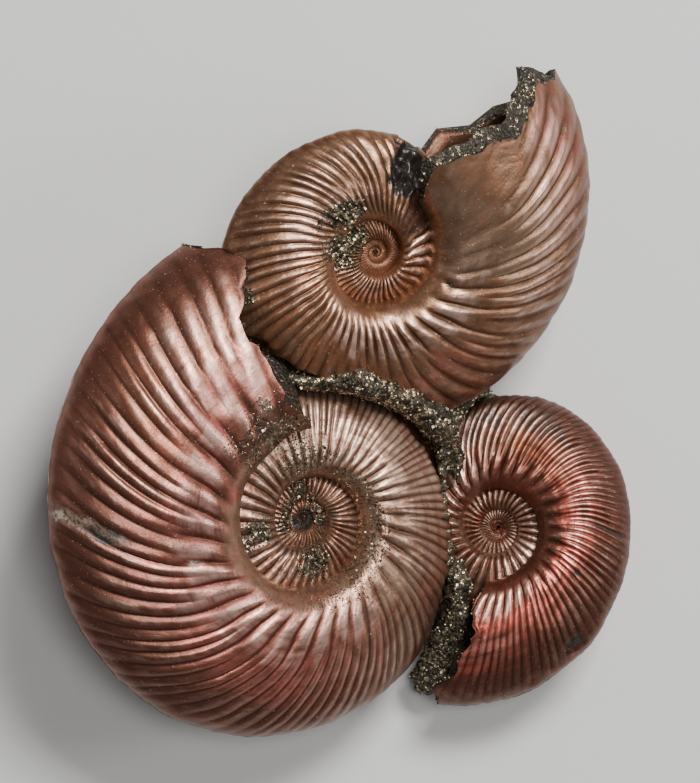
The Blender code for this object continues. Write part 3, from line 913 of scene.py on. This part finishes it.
@dataclass
class Lump:
    """The lump of pyrite behind and between the shells, and the crystals that stand on it."""

    node: str = "pyrite_matrix"
    slot: str = "pyrite"
    voxel: float = 0.55  # mm, finest detail of the mass
    swells: Layers = ((3.2, 0.22), (1.3, 0.16))
    grain_layers: Layers = ((1.25, 0.42), (0.75, 0.26))
    flat_below: float = 1.5  # mm above the rest plane where the roughness fades out
    crystals: int = 8000
    smallest: float = 0.12  # mm
    largest: float = 0.46
    looked_at: int = 26000  # places on the mass where a crystal may stand
    sheltered: float = 0.10  # their chance under a shell, or on a shell's crust
    seed: int = 17
    # Crumbs of the vein between the large and the small shell: x, y, top z and radius, mm.
    crumbs: tuple[tuple[float, float, float, float], ...] = (
        (16.6, -6.0, 23.5, 1.3), (17.1, -8.6, 23.0, 1.1), (17.4, -11.2, 23.0, 1.0),
        (17.5, -13.8, 23.2, 0.9), (17.7, -16.4, 23.4, 0.9), (17.9, -19.0, 23.4, 0.9),
        (18.1, -21.6, 23.0, 0.9), (18.4, -24.2, 22.4, 1.0), (18.6, -26.8, 21.6, 1.1),
        (18.9, -29.4, 20.4, 1.3), (19.2, -32.0, 19.0, 1.6),
    )
    # The ridge above the large shell, where it is thinner: x, y of its middle in the solid, y of
    # its middle here, and share of its thickness.
    ridge: tuple[tuple[float, float, float, float], ...] = (
        (-13, 3.2, 3.2, 1.0), (-9, 4.4, 4.7, 0.60), (-3, 4.1, 3.9, 0.65), (0, 4.6, 4.2, 0.75),
        (3.2, 5.2, 4.5, 0.85), (6.4, 4.0, 3.0, 0.80), (9.9, 2.2, 1.5, 0.75), (12.8, 0.3, 0.2, 0.85),
        (15.4, -1.6, -1.6, 1.0),
    )
    drawn_from: tuple[float, float] = (25.0, 29.0)  # mm in z over which that sets in
    drawn_to: tuple[float, float] = (16.5, 14.0)  # mm in x over which it sets in
    finish: Pyrite = field(default_factory=Pyrite)

    def thinned(self, place: np.ndarray) -> np.ndarray:
        """Draws the ridge's upper part in to the thickness that it shows.

        Args:
            place: places in millimetres.

        Returns:
            The same places, moved along Y.
        """
        x, solid, shown, share = np.array(self.ridge).T
        before, after, thin = (np.interp(place[:, 0], x, value) for value in (solid, shown, share))
        drawn = after + (place[:, 1] - before) * thin
        near = ease(*self.drawn_from, place[:, 2]) * ease(*self.drawn_to, place[:, 0])
        moved = place.copy()
        moved[:, 1] += (drawn - place[:, 1]) * near
        return moved

    def mass(self) -> bpy.types.Object:
        """The lump itself: its solid's form, remeshed finely and roughened into grains.

        Returns:
            The piece.
        """
        bm = bmesh.new()
        bm.from_mesh(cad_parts[self.node].data)
        bmesh.ops.remove_doubles(bm, verts=bm.verts[:], dist=1e-6)
        for x, y, top, radius in self.crumbs:
            for level in (top - radius * (1 + 1.2 * step) for step in range(7)):
                put_at = Matrix.Translation(Vector((x, y, level)) * MM)
                bmesh.ops.create_icosphere(bm, subdivisions=2, radius=radius * MM, matrix=put_at)
        rough = bpy.data.meshes.new("pyrite_rough")
        bm.to_mesh(rough)
        bm.free()
        carrier = bpy.data.objects.new("pyrite_rough", rough)
        bpy.context.scene.collection.objects.link(carrier)
        finer = carrier.modifiers.new("finer", "REMESH")
        finer.mode = "VOXEL"
        finer.voxel_size = self.voxel * MM
        bpy.context.view_layer.update()
        bm = bmesh.new()
        bm.from_object(carrier, bpy.context.evaluated_depsgraph_get())
        bpy.data.objects.remove(carrier, do_unlink=True)
        bmesh.ops.smooth_vert(bm, verts=bm.verts[:], factor=0.5, use_axis_x=True, use_axis_y=True,
                              use_axis_z=True)
        bmesh.ops.recalc_face_normals(bm, faces=bm.faces[:])
        bm.normal_update()
        place = np.array([v.co for v in bm.verts]) / MM
        out = np.array([v.normal for v in bm.verts])
        lift = rumple(place, self.swells, self.seed)
        everywhere = np.ones(len(place), bool)
        for i, (size, height) in enumerate(self.grain_layers):
            lift += height * (grains(place, size, self.seed + 2 + i, everywhere) - 0.4)
        lift *= ease(0.0, self.flat_below, place[:, 2])
        moved = self.thinned(place + out * lift[:, None]) * MM
        moved[:, 2] = np.maximum(moved[:, 2], 0.0)
        for v, co in zip(bm.verts, moved):
            v.co = co
        piece = put(bm, bpy.data.meshes.new("pyrite_mass"), self.finish.material("granular_pyrite"))
        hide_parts(self.node)
        return piece

    def exposure(self, place: np.ndarray, way: np.ndarray, nodes: list[str]) -> np.ndarray:
        """Chance of a crystal at places on the mass: high where it lies open to above.

        Args:
            place: places in metres.
            way: outward directions there.
            nodes: the shells' solids, which shelter what is under them.

        Returns:
            The chance at each place.
        """
        solids = [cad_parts[node].data for node in nodes]
        trees = [BVHTree.FromPolygons([v.co for v in solid.vertices],
                                      [p.vertices for p in solid.polygons]) for solid in solids]
        chance = np.full(len(place), self.sheltered)
        above = Vector((0, 0, 1))
        for i, co in enumerate(place):
            start = Vector(co) + 0.8 * MM * above
            if way[i, 2] > -0.1 and not any(tree.ray_cast(start, above)[0] for tree in trees):
                chance[i] = 1.0
        return chance

    def sites(self, mass: bpy.types.Object, shells: dict[str, bpy.types.Object],
              rng: np.random.Generator) -> tuple[np.ndarray, np.ndarray]:
        """Chooses where crystals stand: on open pyrite, and on the crusts of the shells.

        Args:
            mass: the lump.
            shells: the shells, with their pyrite attribute, by the node that each stands for.
            rng: source of the choices.

        Returns:
            Places and outward directions.
        """
        places, ways, chances = [], [], []
        for piece in (mass, *shells.values()):
            mesh = piece.data
            place = np.zeros(len(mesh.vertices) * 3)
            way = np.zeros(len(mesh.vertices) * 3)
            mesh.vertices.foreach_get("co", place)
            mesh.vertices.foreach_get("normal", way)
            place, way = place.reshape(-1, 3), way.reshape(-1, 3)
            if piece is mass:
                picked = rng.choice(len(place), self.looked_at, replace=False)
                chance = self.exposure(place[picked], way[picked], list(shells))
            else:
                cover = np.zeros(len(place))
                mesh.attributes[Tint.PYRITE.value].data.foreach_get("value", cover)
                picked = np.flatnonzero(cover > 0.25)
                chance = self.sheltered * cover[picked] ** 2
            places.append(place[picked])
            ways.append(way[picked])
            chances.append(chance)
        place, way, chance = np.concatenate(places), np.concatenate(ways), np.concatenate(chances)
        chosen = rng.choice(len(place), min(self.crystals, len(place)), replace=False,
                            p=chance / chance.sum())
        return place[chosen], way[chosen]

    def crust(self, mass: bpy.types.Object, shells: dict[str, bpy.types.Object]) -> bpy.types.Object:
        """Small cubes of pyrite, half sunk in what they grow on.

        Args:
            mass: the lump.
            shells: the shells, by the node that each stands for.

        Returns:
            All crystals as one piece.
        """
        rng = np.random.default_rng(self.seed)
        place, way = self.sites(mass, shells, rng)
        one = bmesh.new()
        bmesh.ops.create_cube(one, size=1.0)
        mesh = bpy.data.meshes.new("pyrite_crystals")
        one.to_mesh(mesh)
        corners = np.array([v.co for v in one.verts])
        one.free()
        bm = bmesh.new()
        for _ in place:
            bm.from_mesh(mesh)
        bm.to_mesh(mesh)
        bm.clear()
        size = self.smallest + (self.largest - self.smallest) * rng.random(len(place)) ** 2.6
        stretch = size[:, None] * rng.uniform(0.75, 1.2, (len(place), 3))
        turns = np.linalg.qr(rng.normal(size=(len(place), 3, 3)))[0]
        turns[np.linalg.det(turns) < 0, :, 0] *= -1
        at = place / MM + way * size[:, None] * 0.12
        at[:, 2] = np.maximum(at[:, 2], 0.9 * size)
        placed = np.einsum("nij,nkj->nki", turns, corners[None] * stretch[:, None]) + at[:, None]
        mesh.vertices.foreach_set("co", (placed * MM).ravel())
        bm.from_mesh(mesh)
        piece = put(bm, mesh, self.crystal_finish())
        mesh.shade_flat()
        return piece

    def crystal_finish(self) -> bpy.types.Material:
        """Brassy to dark, a different shade for each crystal."""
        graph = Graph("pyrite_crystal")
        place = graph.object_mm()
        shade = graph.noise(graph.scaled(place, (1.3,) * 3), 1.0)
        dull = graph.noise(graph.scaled(place, (6.0,) * 3), 2.0)
        colour = graph.mix(shade.rise(0.42, 0.66), (0.085, 0.07, 0.048, 1), self.finish.brass)
        return graph.finish(Base_Color=colour, Metallic=0.95, Roughness=0.22 + dull * 0.3,
                            Normal=graph.bump(dull, 0.05 * MM))


@dataclass(frozen=True)
class Studio:
    """Floor, lights and camera."""

    middle: tuple[float, float] = (1.445, 2.465)  # mm, where the view is centred
    seen_height: float = 133.1  # mm from the picture's bottom to its top
    seen_level: float = 34.0  # mm above the floor where that height is measured
    lens: float = 200.0
    floor_half: float = 1.6

    def floor(self) -> None:
        """A plain pale floor."""
        bm = bmesh.new()
        bmesh.ops.create_grid(bm, x_segments=8, y_segments=8, size=self.floor_half)
        mesh = bpy.data.meshes.new("floor")
        bm.to_mesh(mesh)
        bm.free()
        graph = Graph("floor_paper")
        cloud = graph.noise(graph.scaled(graph.object_mm(), (0.004,) * 3), 3.0)
        colour = graph.mix(cloud, (0.60, 0.59, 0.575, 1), (0.66, 0.65, 0.635, 1))
        mesh.materials.append(graph.finish(Base_Color=colour, Roughness=0.6 + cloud * 0.1))
        made = bpy.data.objects.new("floor", mesh)
        bpy.context.scene.collection.objects.link(made)

    def light(self, name: str, place: tuple[float, float, float], size: tuple[float, float],
              power: float, colour: tuple[float, float, float] = (1, 1, 1)) -> None:
        """One soft panel that faces the specimen.

        Args:
            name: its name.
            place: metres from the middle of the specimen.
            size: width and height in metres.
            power: watts.
            colour: colour of its light.
        """
        lamp = bpy.data.lights.new(name, "AREA")
        lamp.shape = "RECTANGLE"
        lamp.size, lamp.size_y = size
        lamp.energy = power
        lamp.color = colour
        made = bpy.data.objects.new(name, lamp)
        made.location = place
        aim = Vector((0, 0, 0.03)) - Vector(place)
        made.rotation_euler = aim.to_track_quat("-Z", "Y").to_euler()
        bpy.context.scene.collection.objects.link(made)

    def lights(self) -> None:
        """Soft light from above, with a panel on each side for the ribs."""
        self.light("key_panel", (0.24, 0.40, 0.76), (0.24, 0.24), 9.5)
        self.light("right_panel", (0.64, 0.05, 0.46), (0.12, 0.4), 1.5)
        self.light("left_panel", (-0.62, 0.05, 0.46), (0.12, 0.4), 0.35)
        self.light("top_panel", (0.10, 0.02, 0.98), (0.18, 0.18), 3.0)
        world = bpy.data.worlds.new("studio")
        world.use_nodes = True
        sky = world.node_tree.nodes["Background"]
        sky.inputs["Color"].default_value = (0.80, 0.82, 0.86, 1)
        sky.inputs["Strength"].default_value = 0.12
        bpy.context.scene.world = world

    def camera(self) -> None:
        """A long lens that looks straight down, with +Y up in the picture."""
        lens = bpy.data.cameras.new("camera")
        lens.lens = self.lens
        lens.sensor_width = 36.0
        lens.clip_end = 10.0
        made = bpy.data.objects.new("camera", lens)
        away = self.seen_height * self.lens / lens.sensor_width
        made.location = Vector((*self.middle, self.seen_level + away)) * MM
        bpy.context.scene.collection.objects.link(made)
        bpy.context.scene.camera = made

    def build(self) -> None:
        """Sets everything up."""
        self.floor()
        self.lights()
        self.camera()


def large_shell() -> Shell:
    """The rose-brown shell at the lower left, with its sizes and markings."""
    coil = Coil(
        centre=(-7.48, -19.72, 27.0), clockwise=True, top_radius=24.45, growth=2.28, end_angle=340,
        seam=0.30, half_width=0.285, widest=0.50, rim_power=1.75, lean_to=-15, tilt=22, oval=0.018,
        core_shift=(0.6, 0.6), core_reach=(8.0, 26.0),
        break_line=((0.30, 15), (0.38, 5), (0.44, -1), (0.65, -2.5), (0.72, -5), (0.79, -1),
                    (0.90, 3), (0.94, 0), (1.0, -5)),
    )
    ribs = Ribbing(
        strong=((-400, 8.6), (-270, 7.8), (-180, 7.8), (-90, 10.5), (-30, 7.5), (60, 6.8), (80, 10),
                (150, 10), (250, 11.5), (340, 13)),
        fine=((-400, 3.4), (120, 3.4), (160, 4.1), (250, 5.4), (340, 6.2)),
        lead=((-200, 4), (0, 6), (60, 8), (100, 15), (190, 36), (270, 26), (320, 12), (345, 8)),
        height=((-1300, 0.03), (-700, 0.09), (-360, 0.14), (-200, 0.16), (0, 0.14), (60, 0.11),
                (130, 0.12), (200, 0.18), (250, 0.23), (310, 0.23), (335, 0.14), (360, 0.08)),
        inner_share=((-30, 1.15), (60, 1.0), (200, 0.9), (340, 0.9)),
        split=0.60, start_lead=0.22, seed=3,
    )
    patches = (
        *zones(Tint.TAN, (25, 0.72, 95, 0.55, 1.0), (120, 0.60, 60, 0.40, 0.85),
               (-220, 0.50, 210, 0.40, 0.85), (-620, 0.50, 200, 0.40, 0.8)),
        *zones(Tint.PEARL_AND_HIGHLIGHT, (35, 0.66, 60, 0.22, 0.45), (-140, 0.55, 60, 0.20, 0.5),
               (195, 0.50, 45, 0.12, 0.9)),
        *zones(Tint.ROSE, (262, 0.60, 80, 0.22, 0.95), (290, 0.80, 60, 0.30, 0.40),
               (200, 0.62, 50, 0.28, 0.7)),
        Patch(Tint.COPPER, 292, 0.68, 16, 0.10, 0.7),
        # Dark brown on the outer rim at the bottom and lower right: painted shade where the flank turns
        # away from the light.
        *zones(Tint.UMBER_AND_SHADE, (205, 0.93, 60, 0.14, 0.8), (120, 0.97, 50, 0.10, 0.6)),
        *zones(Tint.SOOT, (-160, 0.36, 90, 0.08, 0.8), (-1050, 0.60, 260, 0.60, 2.0)),
        Patch(Tint.PEARL_AND_HIGHLIGHT, 250, 0.52, 60, 0.12, 0.85, slant=60),
        Patch(Tint.PEARL_AND_HIGHLIGHT, 322, 0.66, 20, 0.20, 0.85, slant=20),
        Patch(Tint.COPPER, 312, 0.80, 30, 0.13, 0.85, slant=60),
        # Dark brown on the outer flank at the left and top: painted shade on the side turned away from the
        # light.
        Patch(Tint.UMBER_AND_SHADE, 270, 0.90, 75, 0.24, 0.75, soft=0.6),
        Patch(Tint.UMBER_AND_SHADE, 325, 0.90, 26, 0.22, 0.70, soft=0.6),
        Patch(Tint.TAN, 170, 0.34, 180, 0.08, 1.0, ragged=0.1),
        Patch(Tint.SOOT, 126, 0.78, 30, 0.24, 0.42, soft=0.6),
        Patch(Tint.SOOT, 95, 0.50, 45, 0.14, 0.30, soft=0.6),
        # The scar on the left flank, and two chips.
        Patch(Tint.ASH, 271.5, 0.885, 2.2, 0.11, 0.55, slant=32, depth=-0.40, ragged=0.25),
        Patch(Tint.SOOT, 270, 0.85, 2.2, 0.06, 1.0, slant=32, depth=-0.25),
        Patch(Tint.ASH, 273.8, 0.975, 1.2, 0.020, 1.0),
        Patch(Tint.ASH, 258, 0.54, 1.6, 0.022, 1.0, depth=-0.20),
        # The rim goes in under the small shell's rim, darkened there with painted shade.
        Patch(Tint.UMBER_AND_SHADE, 78, 0.99, 42, 0.08, 0.6, depth=-5.2, ragged=0.1, soft=0.5),
        # Pyrite on the lip, and in the hollows of the coil.
        Patch(Tint.PYRITE, 328, 0.37, 22, 0.11, 0.60, slant=-40, soft=0.9),
        Patch(Tint.PYRITE, -12, 0.50, 24, 0.20, 0.46, soft=0.9),
        Patch(Tint.PYRITE, 90, 0.36, 100, 0.08, 0.42, soft=0.9),
        Patch(Tint.PYRITE, -98, 0.54, 13, 0.15, 0.85, soft=0.8, depth=0.10),
        Patch(Tint.PYRITE, -184, 0.44, 26, 0.19, 0.80, soft=0.8, depth=0.10),
        Patch(Tint.PYRITE, -366, 0.52, 28, 0.26, 0.66, soft=0.9),
        Patch(Tint.PYRITE, -430, 0.45, 60, 0.18, 0.60, soft=0.9),
        Patch(Tint.PYRITE, -640, 0.50, 90, 0.20, 0.55, soft=0.9),
    )
    nacre = Nacre("rose_nacre", ground=(0.27, 0.100, 0.064, 1), second=(0.19, 0.066, 0.038, 1),
                  groove_shade=(0.062, 0.023, 0.014, 1), crest=(0.74, 0.49, 0.39, 1))
    return Shell("large_shell", "large_ammonite", "large_shell", coil, ribs,
                 Mouth(wall=1.2, depth=1.5, ledge=0.6, crusted=9, rough=1.2), nacre, patches, seed=11)


def upper_shell() -> Shell:
    """The tan shell at the top, broken open at its body chamber."""
    coil = Coil(
        centre=(4.0, 26.86, 34.0), clockwise=False, top_radius=20.83, growth=2.40, end_angle=315,
        seam=0.27, half_width=0.26, widest=0.46, rim_power=1.7, lean_to=-44, tilt=24, oval=0.028,
        core_shift=(1.7, -0.7), core_reach=(2.0, 9.0), core_scale=(0.94, 1.0),
        break_line=((0.27, 6), (0.32, 16), (0.38, 20), (0.46, 14), (0.54, 5), (0.60, 5), (0.66, -1),
                    (0.72, -2), (0.82, 0), (0.90, 2), (0.94, -1), (1.0, -2)),
        back_line=((0.27, 6), (0.44, 1), (0.50, 3), (0.57, 3), (0.60, 1), (0.62, -4), (0.70, -5),
                   (0.75, -3), (0.80, -3), (0.86, -5), (0.92, -4), (1.0, -2)),
    )
    ribs = Ribbing(
        strong=((-500, 9), (-270, 7.5), (-150, 7.5), (-110, 11.5), (-70, 11.5), (-30, 6.5), (190, 6.1),
                (210, 10.5), (315, 11.5)),
        fine=((-400, 6.1), (315, 6.1)),
        lead=((-200, 8), (-60, 20), (0, 25), (60, 22), (100, 13), (150, 13), (200, 22), (260, 28),
              (285, 36), (340, 38)),
        height=((-420, 0.02), (-360, 0.10), (-270, 0.15), (-120, 0.18), (-80, 0.18), (-68, 0.03),
                (-46, 0.03), (-30, 0.15), (0, 0.17), (150, 0.19), (250, 0.25), (275, 0.25), (290, 0.12)),
        inner_share=((-30, 1.1), (150, 1.0), (190, 1.15), (235, 1.1), (255, 0.45), (300, 0.12)),
        split=0.58, start_lead=0.15, seed=5,
    )
    patches = (
        *zones(Tint.PEARL_AND_HIGHLIGHT, (195, 0.43, 60, 0.10, 0.95), (60, 0.55, 45, 0.16, 0.75),
               (262, 0.42, 16, 0.08, 0.8), (-180, 0.42, 75, 0.12, 0.9), (-95, 0.60, 22, 0.25, 0.9)),
        *zones(Tint.ROSE, (302, 0.86, 22, 0.10, 0.8), (210, 0.72, 20, 0.14, 0.5)),
        Patch(Tint.TAN, 292, 0.50, 38, 0.28, 1.0),
        *zones(Tint.COPPER, (95, 0.48, 14, 0.12, 0.85), (150, 0.75, 55, 0.25, 0.45),
               (310, 0.60, 20, 0.18, 0.5), (-620, 0.60, 250, 0.50, 0.9)),
        # The first dark brown zone, on the outer rim, is painted shade.
        *zones(Tint.UMBER_AND_SHADE, (160, 0.92, 60, 0.16, 0.7), (276, 0.36, 30, 0.06, 0.5),
               (-50, 0.62, 18, 0.34, 1.0), (-620, 0.60, 250, 0.50, 0.6)),
        Patch(Tint.SOOT, 95, 0.95, 30, 0.08, 0.5),
        Patch(Tint.PEARL_AND_HIGHLIGHT, 285, 0.80, 35, 0.10, 0.7, slant=60),
        # Dark brown along the outer rim: painted shade where the flank turns away from the light.
        Patch(Tint.UMBER_AND_SHADE, 245, 0.94, 70, 0.16, 0.6, soft=0.6),
        Patch(Tint.UMBER_AND_SHADE, 75, 0.94, 45, 0.14, 0.5, soft=0.6),
        Patch(Tint.SOOT, 20, 0.82, 40, 0.22, 0.60, soft=0.5),
        Patch(Tint.SOOT, -45, 0.55, 22, 0.30, 0.55, soft=0.5),
        # The dark hole at the lip, then the rim that goes in under the ridge of pyrite, darkened there
        # with painted shade.
        Patch(Tint.SOOT, -24, 0.78, 15, 0.24, 2.5, depth=-0.3, lumps=0.5),
        Patch(Tint.UMBER_AND_SHADE, 160, 0.95, 32, 0.16, 0.5, depth=-8.4, ragged=0.1, soft=0.35),
        # A pit and a chip on the body chamber.
        Patch(Tint.SOOT, 251, 0.365, 3.5, 0.045, 1.0, slant=-40, depth=-0.35),
        Patch(Tint.ASH, 292, 0.56, 2.2, 0.026, 0.35, depth=-0.08),
        # Pyrite in the hollows of the coil, and a fleck on the rim.
        Patch(Tint.PYRITE, 42, 0.44, 22, 0.12, 0.95, slant=-40, soft=0.5, depth=0.10),
        Patch(Tint.PYRITE, 74, 0.33, 22, 0.07, 0.95, soft=0.5, depth=0.10),
        Patch(Tint.PYRITE, 106, 0.86, 4.5, 0.06, 1.0, depth=0.10),
        Patch(Tint.PYRITE, -290, 0.58, 40, 0.24, 0.95, soft=0.5, depth=0.10),
    )
    nacre = Nacre("tan_nacre", ground=(0.31, 0.160, 0.090, 1), second=(0.25, 0.112, 0.058, 1),
                  groove_shade=(0.090, 0.042, 0.023, 1), crest=(0.80, 0.59, 0.46, 1))
    return Shell("upper_shell", "upper_ammonite", "upper_shell", coil, ribs,
                 Mouth(wall=1.8, depth=26, ledge=6.5, crusted=0.8, rough=0.6), nacre, patches, seed=23)


def small_shell() -> Shell:
    """The dark red shell at the right."""
    coil = Coil(
        centre=(26.32, -20.23, 12.5), clockwise=True, top_radius=22.1, growth=2.12, end_angle=187,
        seam=0.29, half_width=0.29, widest=0.50, rim_power=1.8, lean_to=161, tilt=14, oval=0.09,
        core_shift=(1.1, -1.1), core_reach=(10.0, 22.0),
        break_line=((0.29, -5), (0.42, 2), (0.62, -5), (0.73, 1), (0.84, 3), (0.92, 11), (1, 9)),
    )
    ribs = Ribbing(
        strong=((-200, 10.8), (-40, 12.5), (60, 12.5), (90, 11), (130, 9), (170, 7.2), (187, 7)),
        fine=((-200, 5.6), (0, 5.6), (30, 3.2), (80, 3.0), (120, 3.4), (200, 3.8)),
        lead=((-300, 2), (-100, 10), (-40, 24), (0, 20), (60, 12), (120, 13), (200, 16)),
        height=((-1500, 0.02), (-800, 0.08), (-400, 0.15), (-150, 0.20), (-40, 0.26), (10, 0.25),
                (50, 0.13), (120, 0.15), (200, 0.16)),
        inner_share=((-200, 1.0), (0, 1.1), (90, 1.25), (187, 1.15)),
        split=0.54, start_lead=0.05, seed=8,
    )
    patches = (
        *zones(Tint.TAN, (-5, 0.78, 42, 0.24, 0.7), (-230, 0.50, 210, 0.35, 0.95),
               (-640, 0.50, 250, 0.50, 1.0)),
        *zones(Tint.PEARL_AND_HIGHLIGHT, (-35, 0.55, 22, 0.25, 0.8), (5, 0.80, 25, 0.12, 0.75),
               (60, 0.74, 30, 0.10, 0.6), (88, 0.66, 22, 0.08, 0.65), (160, 0.46, 28, 0.08, 0.8),
               (178, 0.70, 14, 0.08, 0.45), (-250, 0.50, 60, 0.16, 0.8)),
        Patch(Tint.COPPER, 40, 0.66, 28, 0.12, 0.8),
        *zones(Tint.ROSE, (85, 0.68, 36, 0.20, 1.0), (140, 0.60, 26, 0.16, 0.9),
               (178, 0.72, 20, 0.18, 1.0)),
        # The second dark brown zone, on the outer rim, is painted shade.
        *zones(Tint.UMBER_AND_SHADE, (95, 0.36, 45, 0.09, 0.75), (178, 0.98, 30, 0.16, 0.9)),
        Patch(Tint.SOOT, 100, 0.99, 90, 0.05, 0.4),
        Patch(Tint.ROSE, 12, 0.41, 52, 0.11, 0.45, ragged=0.12, soft=0.12),
        Patch(Tint.UMBER_AND_SHADE, 12, 0.40, 52, 0.10, 0.55, ragged=0.12, soft=0.12),
        # Dark brown on the outer flank at the right: painted shade on the side turned away from the light.
        Patch(Tint.UMBER_AND_SHADE, 85, 0.93, 110, 0.18, 0.85, soft=0.5),
        Patch(Tint.SOOT, -14, 0.84, 22, 0.16, 0.75, soft=0.5),
        Patch(Tint.SOOT, 30, 0.84, 18, 0.10, 0.80, soft=0.5),
        # Pits.
        Patch(Tint.SOOT, 141, 0.95, 3.5, 0.035, 1.0, depth=-0.3),
        Patch(Tint.SOOT, 119, 0.72, 2.2, 0.030, 1.0, depth=-0.2),
        Patch(Tint.SOOT, 97, 0.91, 1.0, 0.09, 1.0, slant=20, depth=-0.2),
    )
    nacre = Nacre("red_nacre", ground=(0.22, 0.070, 0.044, 1), second=(0.165, 0.055, 0.034, 1),
                  groove_shade=(0.042, 0.014, 0.009, 1), crest=(0.68, 0.38, 0.29, 1),
                  rose=(0.70, 0.140, 0.100, 1), copper=(0.52, 0.17, 0.075, 1), tan=(0.30, 0.19, 0.125, 1))
    return Shell("small_shell", "small_ammonite", "small_shell", coil, ribs,
                 Mouth(wall=1.0, depth=2.5, ledge=0.6, crusted=9, rough=1.6), nacre, patches, seed=37)


def main() -> None:
    """Builds the specimen piece by piece, then the studio round it."""
    logging.basicConfig(level=logging.INFO, format="%(message)s")
    shells = {shell.node: shell.build() for shell in (large_shell(), upper_shell(), small_shell())}
    lump = Lump()
    mass = lump.mass()
    crystals = lump.crust(mass, shells)
    for piece in (*shells.values(), mass, crystals):
        log.info("%s: %d faces", piece.name, len(piece.data.polygons))
    Studio().build()
    bpy.context.view_layer.update()


if __name__ == "__main__":
    main()
